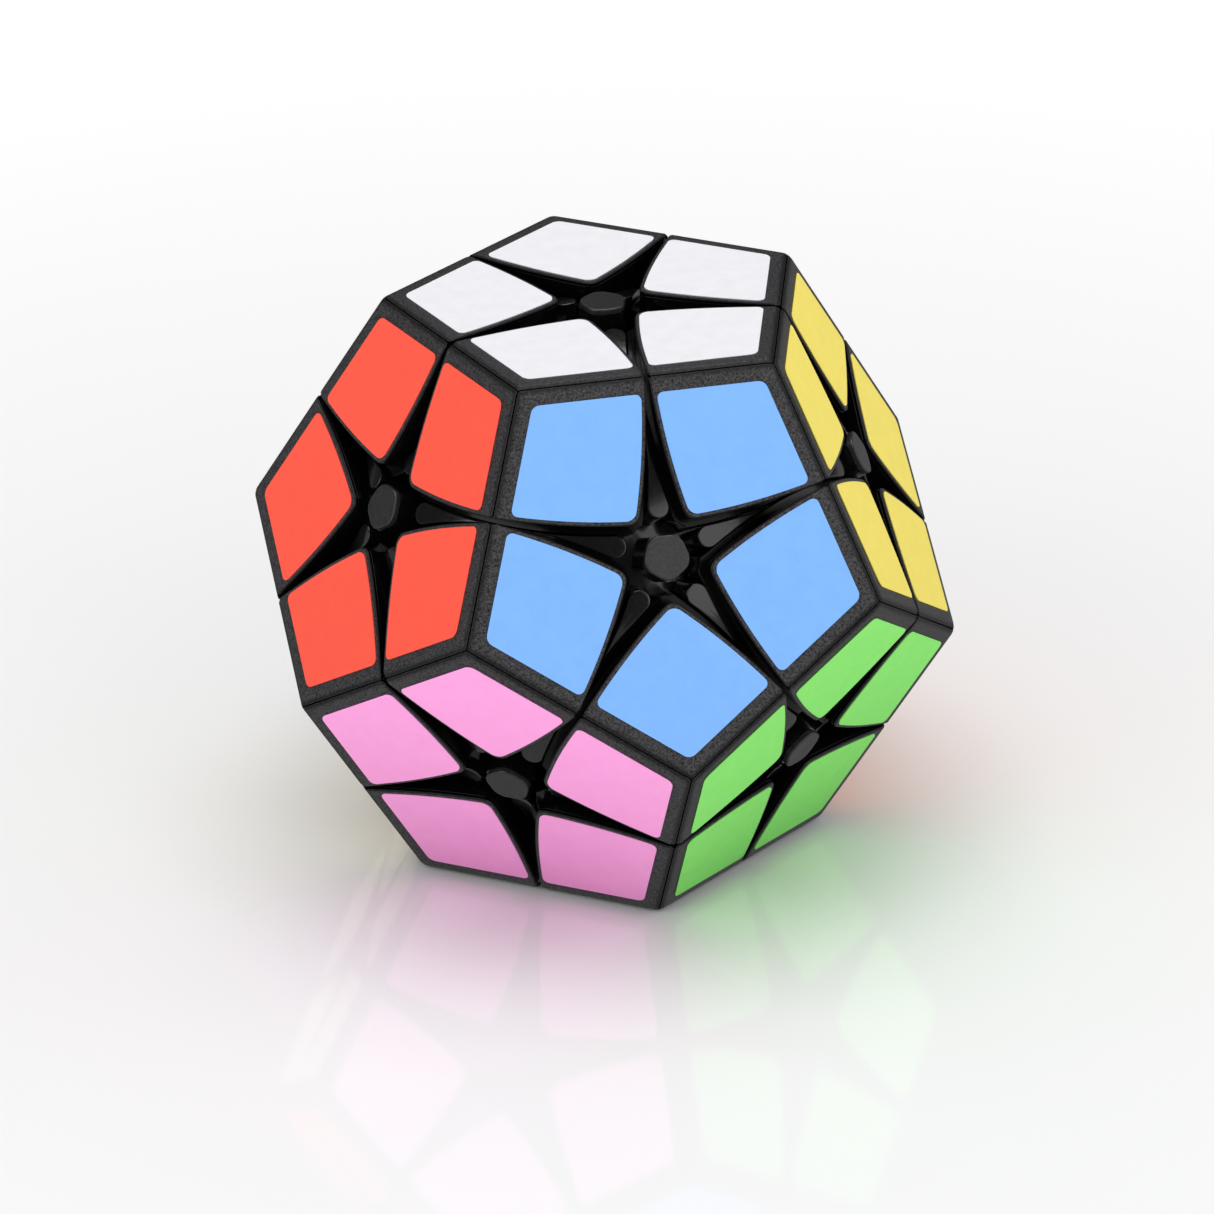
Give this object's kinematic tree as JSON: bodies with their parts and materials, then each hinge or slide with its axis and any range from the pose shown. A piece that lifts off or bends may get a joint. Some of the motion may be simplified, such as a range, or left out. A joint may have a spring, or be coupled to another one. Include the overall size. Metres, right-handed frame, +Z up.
{
  "type": "dodecahedron twisty puzzle",
  "caption": "Twisty puzzle in the shape of a dodecahedron whose faces turn about a hidden core, with kite-shaped coloured stickers on black corner pieces.",
  "frame": {"origin": "centre of the puzzle, where the twelve turning axes meet", "axes": "+Z up through the white face, -Y towards the light blue face's side; the grey face is down"},
  "size_m": [0.087, 0.0914, 0.075],
  "materials": {
    "corner_plastic": "fine matte texture outside, glossy on the cut walls",
    "edge_plastic": "glossy black",
    "centre_plastic": "satin black, matte on the cap",
    "core_plastic": "plain moulded plastic, not seen from outside",
    "sticker_white": "thin satin vinyl sheet",
    "sticker_grey": "thin satin vinyl sheet",
    "sticker_blue": "thin satin vinyl sheet",
    "sticker_navy": "thin satin vinyl sheet",
    "sticker_yellow": "thin satin vinyl sheet",
    "sticker_cream": "thin satin vinyl sheet",
    "sticker_purple": "thin satin vinyl sheet",
    "sticker_pink": "thin satin vinyl sheet",
    "sticker_forest": "thin satin vinyl sheet",
    "sticker_green": "thin satin vinyl sheet",
    "sticker_red": "thin satin vinyl sheet",
    "sticker_orange": "thin satin vinyl sheet"
  },
  "bodies": {
    "core": {"core": "core_plastic"},
    "centre_white": {"centre_white": "centre_plastic"},
    "centre_grey": {"centre_grey": "centre_plastic"},
    "centre_blue": {"centre_blue": "centre_plastic"},
    "centre_navy": {"centre_navy": "centre_plastic"},
    "centre_yellow": {"centre_yellow": "centre_plastic"},
    "centre_cream": {"centre_cream": "centre_plastic"},
    "centre_purple": {"centre_purple": "centre_plastic"},
    "centre_pink": {"centre_pink": "centre_plastic"},
    "centre_forest": {"centre_forest": "centre_plastic"},
    "centre_green": {"centre_green": "centre_plastic"},
    "centre_red": {"centre_red": "centre_plastic"},
    "centre_orange": {"centre_orange": "centre_plastic"},
    "edge_white_blue": {"edge_white_blue": "edge_plastic"},
    "edge_white_yellow": {"edge_white_yellow": "edge_plastic"},
    "edge_white_purple": {"edge_white_purple": "edge_plastic"},
    "edge_white_forest": {"edge_white_forest": "edge_plastic"},
    "edge_white_red": {"edge_white_red": "edge_plastic"},
    "edge_blue_green": {"edge_blue_green": "edge_plastic"},
    "edge_blue_red": {"edge_blue_red": "edge_plastic"},
    "edge_navy_forest": {"edge_navy_forest": "edge_plastic"},
    "edge_navy_orange": {"edge_navy_orange": "edge_plastic"},
    "edge_blue_yellow": {"edge_blue_yellow": "edge_plastic"},
    "edge_yellow_orange": {"edge_yellow_orange": "edge_plastic"},
    "edge_navy_cream": {"edge_navy_cream": "edge_plastic"},
    "edge_cream_red": {"edge_cream_red": "edge_plastic"},
    "edge_navy_purple": {"edge_navy_purple": "edge_plastic"},
    "edge_yellow_purple": {"edge_yellow_purple": "edge_plastic"},
    "edge_grey_pink": {"edge_grey_pink": "edge_plastic"},
    "edge_blue_pink": {"edge_blue_pink": "edge_plastic"},
    "edge_cream_pink": {"edge_cream_pink": "edge_plastic"},
    "edge_cream_forest": {"edge_cream_forest": "edge_plastic"},
    "edge_purple_forest": {"edge_purple_forest": "edge_plastic"},
    "edge_grey_green": {"edge_grey_green": "edge_plastic"},
    "edge_yellow_green": {"edge_yellow_green": "edge_plastic"},
    "edge_pink_green": {"edge_pink_green": "edge_plastic"},
    "edge_pink_red": {"edge_pink_red": "edge_plastic"},
    "edge_forest_red": {"edge_forest_red": "edge_plastic"},
    "edge_purple_orange": {"edge_purple_orange": "edge_plastic"},
    "edge_green_orange": {"edge_green_orange": "edge_plastic"},
    "corner_blue_green_yellow": {"corner_blue_green_yellow": "corner_plastic"},
    "corner_white_red_blue": {"corner_white_red_blue": "corner_plastic"},
    "corner_grey_navy_orange": {"corner_grey_navy_orange": "corner_plastic"},
    "corner_navy_purple_orange": {"corner_navy_purple_orange": "corner_plastic"},
    "corner_white_blue_yellow": {"corner_white_blue_yellow": "corner_plastic"},
    "corner_yellow_orange_purple": {"corner_yellow_orange_purple": "corner_plastic"},
    "corner_grey_cream_navy": {"corner_grey_cream_navy": "corner_plastic"},
    "corner_navy_cream_forest": {"corner_navy_cream_forest": "corner_plastic"},
    "corner_navy_forest_purple": {"corner_navy_forest_purple": "corner_plastic"},
    "corner_white_yellow_purple": {"corner_white_yellow_purple": "corner_plastic"},
    "corner_grey_pink_cream": {"corner_grey_pink_cream": "corner_plastic"},
    "corner_cream_pink_red": {"corner_cream_pink_red": "corner_plastic"},
    "corner_cream_red_forest": {"corner_cream_red_forest": "corner_plastic"},
    "corner_white_purple_forest": {"corner_white_purple_forest": "corner_plastic"},
    "corner_grey_green_pink": {"corner_grey_green_pink": "corner_plastic"},
    "corner_blue_pink_green": {"corner_blue_pink_green": "corner_plastic"},
    "corner_blue_red_pink": {"corner_blue_red_pink": "corner_plastic"},
    "corner_white_forest_red": {"corner_white_forest_red": "corner_plastic"},
    "corner_grey_orange_green": {"corner_grey_orange_green": "corner_plastic"},
    "corner_yellow_green_orange": {"corner_yellow_green_orange": "corner_plastic"}
  },
  "joints": [
    {"name": "turn_white", "type": "hinge", "parent": "core", "child": "centre_white", "pos_m": [0, 0, 0], "axis": [0, 0, 1], "range_deg": [-432, 504]},
    {"name": "turn_grey", "type": "hinge", "parent": "core", "child": "centre_grey", "pos_m": [0, 0, 0], "axis": [0, 0, -1], "range_deg": [-432, 504]},
    {"name": "turn_blue", "type": "hinge", "parent": "core", "child": "centre_blue", "pos_m": [0, 0, 0], "axis": [0, -0.8944, 0.4472], "range_deg": [-432, 504]},
    {"name": "turn_navy", "type": "hinge", "parent": "core", "child": "centre_navy", "pos_m": [0, 0, 0], "axis": [0, 0.8944, -0.4472], "range_deg": [-432, 504]},
    {"name": "turn_yellow", "type": "hinge", "parent": "core", "child": "centre_yellow", "pos_m": [0, 0, 0], "axis": [0.8507, -0.2764, 0.4472], "range_deg": [-432, 504]},
    {"name": "turn_cream", "type": "hinge", "parent": "core", "child": "centre_cream", "pos_m": [0, 0, 0], "axis": [-0.8507, 0.2764, -0.4472], "range_deg": [-432, 504]},
    {"name": "turn_purple", "type": "hinge", "parent": "core", "child": "centre_purple", "pos_m": [0, 0, 0], "axis": [0.5257, 0.7236, 0.4472], "range_deg": [-432, 504]},
    {"name": "turn_pink", "type": "hinge", "parent": "core", "child": "centre_pink", "pos_m": [0, 0, 0], "axis": [-0.5257, -0.7236, -0.4472], "range_deg": [-432, 504]},
    {"name": "turn_forest", "type": "hinge", "parent": "core", "child": "centre_forest", "pos_m": [0, 0, 0], "axis": [-0.5257, 0.7236, 0.4472], "range_deg": [-432, 504]},
    {"name": "turn_green", "type": "hinge", "parent": "core", "child": "centre_green", "pos_m": [0, 0, 0], "axis": [0.5257, -0.7236, -0.4472], "range_deg": [-432, 504]},
    {"name": "turn_red", "type": "hinge", "parent": "core", "child": "centre_red", "pos_m": [0, 0, 0], "axis": [-0.8507, -0.2764, 0.4472], "range_deg": [-432, 504]},
    {"name": "turn_orange", "type": "hinge", "parent": "core", "child": "centre_orange", "pos_m": [0, 0, 0], "axis": [0.8507, 0.2764, -0.4472], "range_deg": [-432, 504]},
    {"name": "edge_white_blue_about_blue", "type": "hinge", "parent": "centre_white", "child": "edge_white_blue", "pos_m": [0, 0, 0], "axis": [0, -0.8944, 0.4472], "range_deg": [-432, 504]},
    {"name": "edge_white_yellow_about_yellow", "type": "hinge", "parent": "centre_white", "child": "edge_white_yellow", "pos_m": [0, 0, 0], "axis": [0.8507, -0.2764, 0.4472], "range_deg": [-432, 504]},
    {"name": "edge_white_purple_about_purple", "type": "hinge", "parent": "centre_white", "child": "edge_white_purple", "pos_m": [0, 0, 0], "axis": [0.5257, 0.7236, 0.4472], "range_deg": [-432, 504]},
    {"name": "edge_white_forest_about_forest", "type": "hinge", "parent": "centre_white", "child": "edge_white_forest", "pos_m": [0, 0, 0], "axis": [-0.5257, 0.7236, 0.4472], "range_deg": [-432, 504]},
    {"name": "edge_white_red_about_red", "type": "hinge", "parent": "centre_white", "child": "edge_white_red", "pos_m": [0, 0, 0], "axis": [-0.8507, -0.2764, 0.4472], "range_deg": [-432, 504]},
    {"name": "edge_blue_green_about_green", "type": "hinge", "parent": "centre_blue", "child": "edge_blue_green", "pos_m": [0, 0, 0], "axis": [0.5257, -0.7236, -0.4472], "range_deg": [-432, 504]},
    {"name": "edge_blue_red_about_red", "type": "hinge", "parent": "centre_blue", "child": "edge_blue_red", "pos_m": [0, 0, 0], "axis": [-0.8507, -0.2764, 0.4472], "range_deg": [-432, 504]},
    {"name": "edge_navy_forest_about_forest", "type": "hinge", "parent": "centre_navy", "child": "edge_navy_forest", "pos_m": [0, 0, 0], "axis": [-0.5257, 0.7236, 0.4472], "range_deg": [-432, 504]},
    {"name": "edge_navy_orange_about_orange", "type": "hinge", "parent": "centre_navy", "child": "edge_navy_orange", "pos_m": [0, 0, 0], "axis": [0.8507, 0.2764, -0.4472], "range_deg": [-432, 504]},
    {"name": "edge_blue_yellow_about_blue", "type": "hinge", "parent": "centre_yellow", "child": "edge_blue_yellow", "pos_m": [0, 0, 0], "axis": [0, -0.8944, 0.4472], "range_deg": [-432, 504]},
    {"name": "edge_yellow_orange_about_orange", "type": "hinge", "parent": "centre_yellow", "child": "edge_yellow_orange", "pos_m": [0, 0, 0], "axis": [0.8507, 0.2764, -0.4472], "range_deg": [-432, 504]},
    {"name": "edge_navy_cream_about_navy", "type": "hinge", "parent": "centre_cream", "child": "edge_navy_cream", "pos_m": [0, 0, 0], "axis": [0, 0.8944, -0.4472], "range_deg": [-432, 504]},
    {"name": "edge_cream_red_about_red", "type": "hinge", "parent": "centre_cream", "child": "edge_cream_red", "pos_m": [0, 0, 0], "axis": [-0.8507, -0.2764, 0.4472], "range_deg": [-432, 504]},
    {"name": "edge_navy_purple_about_navy", "type": "hinge", "parent": "centre_purple", "child": "edge_navy_purple", "pos_m": [0, 0, 0], "axis": [0, 0.8944, -0.4472], "range_deg": [-432, 504]},
    {"name": "edge_yellow_purple_about_yellow", "type": "hinge", "parent": "centre_purple", "child": "edge_yellow_purple", "pos_m": [0, 0, 0], "axis": [0.8507, -0.2764, 0.4472], "range_deg": [-432, 504]},
    {"name": "edge_grey_pink_about_grey", "type": "hinge", "parent": "centre_pink", "child": "edge_grey_pink", "pos_m": [0, 0, 0], "axis": [0, 0, -1], "range_deg": [-432, 504]},
    {"name": "edge_blue_pink_about_blue", "type": "hinge", "parent": "centre_pink", "child": "edge_blue_pink", "pos_m": [0, 0, 0], "axis": [0, -0.8944, 0.4472], "range_deg": [-432, 504]},
    {"name": "edge_cream_pink_about_cream", "type": "hinge", "parent": "centre_pink", "child": "edge_cream_pink", "pos_m": [0, 0, 0], "axis": [-0.8507, 0.2764, -0.4472], "range_deg": [-432, 504]},
    {"name": "edge_cream_forest_about_cream", "type": "hinge", "parent": "centre_forest", "child": "edge_cream_forest", "pos_m": [0, 0, 0], "axis": [-0.8507, 0.2764, -0.4472], "range_deg": [-432, 504]},
    {"name": "edge_purple_forest_about_purple", "type": "hinge", "parent": "centre_forest", "child": "edge_purple_forest", "pos_m": [0, 0, 0], "axis": [0.5257, 0.7236, 0.4472], "range_deg": [-432, 504]},
    {"name": "edge_grey_green_about_grey", "type": "hinge", "parent": "centre_green", "child": "edge_grey_green", "pos_m": [0, 0, 0], "axis": [0, 0, -1], "range_deg": [-432, 504]},
    {"name": "edge_yellow_green_about_yellow", "type": "hinge", "parent": "centre_green", "child": "edge_yellow_green", "pos_m": [0, 0, 0], "axis": [0.8507, -0.2764, 0.4472], "range_deg": [-432, 504]},
    {"name": "edge_pink_green_about_pink", "type": "hinge", "parent": "centre_green", "child": "edge_pink_green", "pos_m": [0, 0, 0], "axis": [-0.5257, -0.7236, -0.4472], "range_deg": [-432, 504]},
    {"name": "edge_pink_red_about_pink", "type": "hinge", "parent": "centre_red", "child": "edge_pink_red", "pos_m": [0, 0, 0], "axis": [-0.5257, -0.7236, -0.4472], "range_deg": [-432, 504]},
    {"name": "edge_forest_red_about_forest", "type": "hinge", "parent": "centre_red", "child": "edge_forest_red", "pos_m": [0, 0, 0], "axis": [-0.5257, 0.7236, 0.4472], "range_deg": [-432, 504]},
    {"name": "edge_purple_orange_about_purple", "type": "hinge", "parent": "centre_orange", "child": "edge_purple_orange", "pos_m": [0, 0, 0], "axis": [0.5257, 0.7236, 0.4472], "range_deg": [-432, 504]},
    {"name": "edge_green_orange_about_green", "type": "hinge", "parent": "centre_orange", "child": "edge_green_orange", "pos_m": [0, 0, 0], "axis": [0.5257, -0.7236, -0.4472], "range_deg": [-432, 504]},
    {"name": "corner_blue_green_yellow_about_yellow", "type": "hinge", "parent": "edge_blue_green", "child": "corner_blue_green_yellow", "pos_m": [0, 0, 0], "axis": [0.8507, -0.2764, 0.4472], "range_deg": [-432, 504]},
    {"name": "corner_white_red_blue_about_white", "type": "hinge", "parent": "edge_blue_red", "child": "corner_white_red_blue", "pos_m": [0, 0, 0], "axis": [0, 0, 1], "range_deg": [-432, 504]},
    {"name": "corner_grey_navy_orange_about_grey", "type": "hinge", "parent": "edge_navy_orange", "child": "corner_grey_navy_orange", "pos_m": [0, 0, 0], "axis": [0, 0, -1], "range_deg": [-432, 504]},
    {"name": "corner_navy_purple_orange_about_purple", "type": "hinge", "parent": "edge_navy_orange", "child": "corner_navy_purple_orange", "pos_m": [0, 0, 0], "axis": [0.5257, 0.7236, 0.4472], "range_deg": [-432, 504]},
    {"name": "corner_white_blue_yellow_about_white", "type": "hinge", "parent": "edge_blue_yellow", "child": "corner_white_blue_yellow", "pos_m": [0, 0, 0], "axis": [0, 0, 1], "range_deg": [-432, 504]},
    {"name": "corner_yellow_orange_purple_about_purple", "type": "hinge", "parent": "edge_yellow_orange", "child": "corner_yellow_orange_purple", "pos_m": [0, 0, 0], "axis": [0.5257, 0.7236, 0.4472], "range_deg": [-432, 504]},
    {"name": "corner_grey_cream_navy_about_grey", "type": "hinge", "parent": "edge_navy_cream", "child": "corner_grey_cream_navy", "pos_m": [0, 0, 0], "axis": [0, 0, -1], "range_deg": [-432, 504]},
    {"name": "corner_navy_cream_forest_about_forest", "type": "hinge", "parent": "edge_navy_cream", "child": "corner_navy_cream_forest", "pos_m": [0, 0, 0], "axis": [-0.5257, 0.7236, 0.4472], "range_deg": [-432, 504]},
    {"name": "corner_navy_forest_purple_about_forest", "type": "hinge", "parent": "edge_navy_purple", "child": "corner_navy_forest_purple", "pos_m": [0, 0, 0], "axis": [-0.5257, 0.7236, 0.4472], "range_deg": [-432, 504]},
    {"name": "corner_white_yellow_purple_about_white", "type": "hinge", "parent": "edge_yellow_purple", "child": "corner_white_yellow_purple", "pos_m": [0, 0, 0], "axis": [0, 0, 1], "range_deg": [-432, 504]},
    {"name": "corner_grey_pink_cream_about_grey", "type": "hinge", "parent": "edge_cream_pink", "child": "corner_grey_pink_cream", "pos_m": [0, 0, 0], "axis": [0, 0, -1], "range_deg": [-432, 504]},
    {"name": "corner_cream_pink_red_about_red", "type": "hinge", "parent": "edge_cream_pink", "child": "corner_cream_pink_red", "pos_m": [0, 0, 0], "axis": [-0.8507, -0.2764, 0.4472], "range_deg": [-432, 504]},
    {"name": "corner_cream_red_forest_about_red", "type": "hinge", "parent": "edge_cream_forest", "child": "corner_cream_red_forest", "pos_m": [0, 0, 0], "axis": [-0.8507, -0.2764, 0.4472], "range_deg": [-432, 504]},
    {"name": "corner_white_purple_forest_about_white", "type": "hinge", "parent": "edge_purple_forest", "child": "corner_white_purple_forest", "pos_m": [0, 0, 0], "axis": [0, 0, 1], "range_deg": [-432, 504]},
    {"name": "corner_grey_green_pink_about_grey", "type": "hinge", "parent": "edge_pink_green", "child": "corner_grey_green_pink", "pos_m": [0, 0, 0], "axis": [0, 0, -1], "range_deg": [-432, 504]},
    {"name": "corner_blue_pink_green_about_blue", "type": "hinge", "parent": "edge_pink_green", "child": "corner_blue_pink_green", "pos_m": [0, 0, 0], "axis": [0, -0.8944, 0.4472], "range_deg": [-432, 504]},
    {"name": "corner_blue_red_pink_about_blue", "type": "hinge", "parent": "edge_pink_red", "child": "corner_blue_red_pink", "pos_m": [0, 0, 0], "axis": [0, -0.8944, 0.4472], "range_deg": [-432, 504]},
    {"name": "corner_white_forest_red_about_white", "type": "hinge", "parent": "edge_forest_red", "child": "corner_white_forest_red", "pos_m": [0, 0, 0], "axis": [0, 0, 1], "range_deg": [-432, 504]},
    {"name": "corner_grey_orange_green_about_grey", "type": "hinge", "parent": "edge_green_orange", "child": "corner_grey_orange_green", "pos_m": [0, 0, 0], "axis": [0, 0, -1], "range_deg": [-432, 504]},
    {"name": "corner_yellow_green_orange_about_yellow", "type": "hinge", "parent": "edge_green_orange", "child": "corner_yellow_green_orange", "pos_m": [0, 0, 0], "axis": [0.8507, -0.2764, 0.4472], "range_deg": [-432, 504]}
  ],
  "couplings": [
    {"joint": "edge_white_blue_about_blue", "follows": "turn_blue", "ratio": 1},
    {"joint": "edge_white_yellow_about_yellow", "follows": "turn_yellow", "ratio": 1},
    {"joint": "edge_white_purple_about_purple", "follows": "turn_purple", "ratio": 1},
    {"joint": "edge_white_forest_about_forest", "follows": "turn_forest", "ratio": 1},
    {"joint": "edge_white_red_about_red", "follows": "turn_red", "ratio": 1},
    {"joint": "edge_blue_green_about_green", "follows": "turn_green", "ratio": 1},
    {"joint": "edge_blue_red_about_red", "follows": "turn_red", "ratio": 1},
    {"joint": "edge_navy_forest_about_forest", "follows": "turn_forest", "ratio": 1},
    {"joint": "edge_navy_orange_about_orange", "follows": "turn_orange", "ratio": 1},
    {"joint": "edge_blue_yellow_about_blue", "follows": "turn_blue", "ratio": 1},
    {"joint": "edge_yellow_orange_about_orange", "follows": "turn_orange", "ratio": 1},
    {"joint": "edge_navy_cream_about_navy", "follows": "turn_navy", "ratio": 1},
    {"joint": "edge_cream_red_about_red", "follows": "turn_red", "ratio": 1},
    {"joint": "edge_navy_purple_about_navy", "follows": "turn_navy", "ratio": 1},
    {"joint": "edge_yellow_purple_about_yellow", "follows": "turn_yellow", "ratio": 1},
    {"joint": "edge_grey_pink_about_grey", "follows": "turn_grey", "ratio": 1},
    {"joint": "edge_blue_pink_about_blue", "follows": "turn_blue", "ratio": 1},
    {"joint": "edge_cream_pink_about_cream", "follows": "turn_cream", "ratio": 1},
    {"joint": "edge_cream_forest_about_cream", "follows": "turn_cream", "ratio": 1},
    {"joint": "edge_purple_forest_about_purple", "follows": "turn_purple", "ratio": 1},
    {"joint": "edge_grey_green_about_grey", "follows": "turn_grey", "ratio": 1},
    {"joint": "edge_yellow_green_about_yellow", "follows": "turn_yellow", "ratio": 1},
    {"joint": "edge_pink_green_about_pink", "follows": "turn_pink", "ratio": 1},
    {"joint": "edge_pink_red_about_pink", "follows": "turn_pink", "ratio": 1},
    {"joint": "edge_forest_red_about_forest", "follows": "turn_forest", "ratio": 1},
    {"joint": "edge_purple_orange_about_purple", "follows": "turn_purple", "ratio": 1},
    {"joint": "edge_green_orange_about_green", "follows": "turn_green", "ratio": 1},
    {"joint": "corner_blue_green_yellow_about_yellow", "follows": "turn_yellow", "ratio": 1},
    {"joint": "corner_white_red_blue_about_white", "follows": "turn_white", "ratio": 1},
    {"joint": "corner_grey_navy_orange_about_grey", "follows": "turn_grey", "ratio": 1},
    {"joint": "corner_navy_purple_orange_about_purple", "follows": "turn_purple", "ratio": 1},
    {"joint": "corner_white_blue_yellow_about_white", "follows": "turn_white", "ratio": 1},
    {"joint": "corner_yellow_orange_purple_about_purple", "follows": "turn_purple", "ratio": 1},
    {"joint": "corner_grey_cream_navy_about_grey", "follows": "turn_grey", "ratio": 1},
    {"joint": "corner_navy_cream_forest_about_forest", "follows": "turn_forest", "ratio": 1},
    {"joint": "corner_navy_forest_purple_about_forest", "follows": "turn_forest", "ratio": 1},
    {"joint": "corner_white_yellow_purple_about_white", "follows": "turn_white", "ratio": 1},
    {"joint": "corner_grey_pink_cream_about_grey", "follows": "turn_grey", "ratio": 1},
    {"joint": "corner_cream_pink_red_about_red", "follows": "turn_red", "ratio": 1},
    {"joint": "corner_cream_red_forest_about_red", "follows": "turn_red", "ratio": 1},
    {"joint": "corner_white_purple_forest_about_white", "follows": "turn_white", "ratio": 1},
    {"joint": "corner_grey_green_pink_about_grey", "follows": "turn_grey", "ratio": 1},
    {"joint": "corner_blue_pink_green_about_blue", "follows": "turn_blue", "ratio": 1},
    {"joint": "corner_blue_red_pink_about_blue", "follows": "turn_blue", "ratio": 1},
    {"joint": "corner_white_forest_red_about_white", "follows": "turn_white", "ratio": 1},
    {"joint": "corner_grey_orange_green_about_grey", "follows": "turn_grey", "ratio": 1},
    {"joint": "corner_yellow_green_orange_about_yellow", "follows": "turn_yellow", "ratio": 1}
  ]
}
